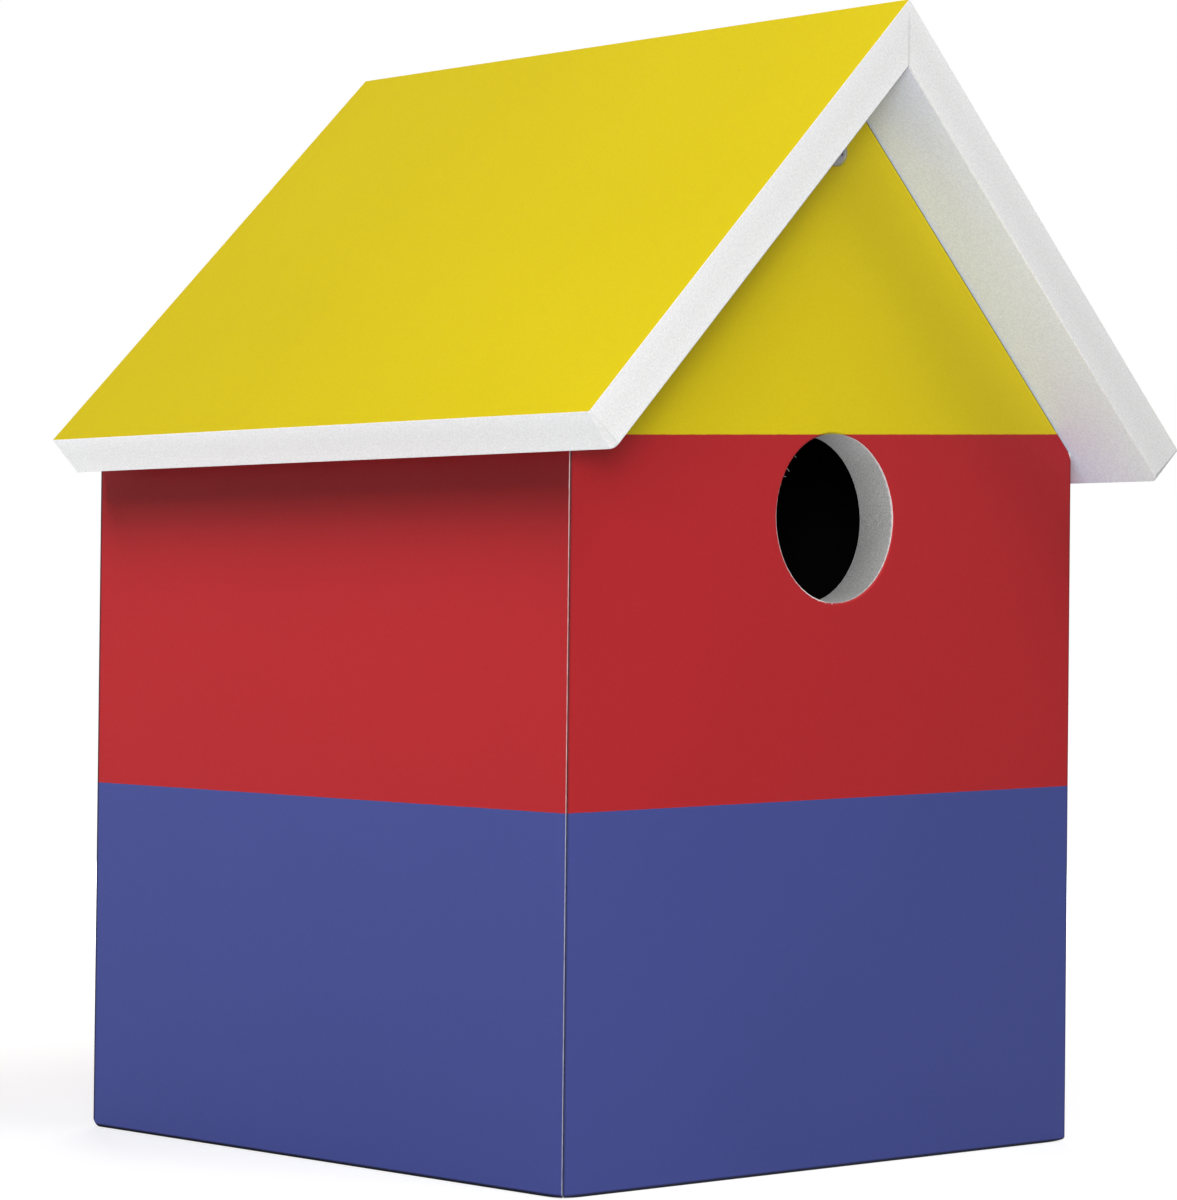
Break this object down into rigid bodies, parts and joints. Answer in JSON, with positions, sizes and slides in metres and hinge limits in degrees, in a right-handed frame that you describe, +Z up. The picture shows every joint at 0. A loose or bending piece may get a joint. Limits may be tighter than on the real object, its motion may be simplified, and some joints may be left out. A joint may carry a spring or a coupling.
{
  "type": "birdhouse",
  "caption": "Gabled birdhouse of mitred boards in bands of yellow, red and blue, with a round entrance, a front that unscrews for cleaning and a keyhole to hang it by.",
  "frame": {"origin": "on the ground, under the middle of the outer box", "axes": "+Z up, the entrance faces -Y, the back that hangs on a wall faces +Y, +X to the viewer's right"},
  "size_m": [0.162, 0.1574, 0.2197],
  "materials": {
    "gable_paint": "satin paint in level bands of blue, red and yellow on fibreboard, white edges, black inside",
    "wall_paint": "satin paint in level bands of blue and red on fibreboard, white edges, black inside",
    "roof_paint": "satin yellow paint on fibreboard, white sealed edges and underside",
    "bare_board": "bare fibreboard",
    "pine": "planed softwood",
    "beech": "fluted beech dowel",
    "birch_ply": "thin birch plywood",
    "screw_steel": "zinc plate"
  },
  "bodies": {
    "house": {"back_panel": "gable_paint", "left_wall": "wall_paint", "right_wall": "wall_paint", "floor_panel": "bare_board", "left_roof_board": "roof_paint", "right_roof_board": "roof_paint", "ridge_batten": "pine", "rear_screw": "screw_steel", "front_dowels": "beech", "rear_floor_dowels": "beech", "left_floor_dowels": "beech", "right_floor_dowels": "beech", "left_rear_spline": "birch_ply", "right_rear_spline": "birch_ply"},
    "front": {"front_panel": "gable_paint"},
    "screw": {"front_screw": "screw_steel"}
  },
  "joints": [
    {"name": "front_pull", "type": "slide", "parent": "house", "child": "front", "axis": [0, -1, 0], "range_m": [0, 0.07]},
    {"name": "screw_out", "type": "slide", "parent": "front", "child": "screw", "axis": [0, -1, 0], "range_m": [0, 0.03]}
  ]
}
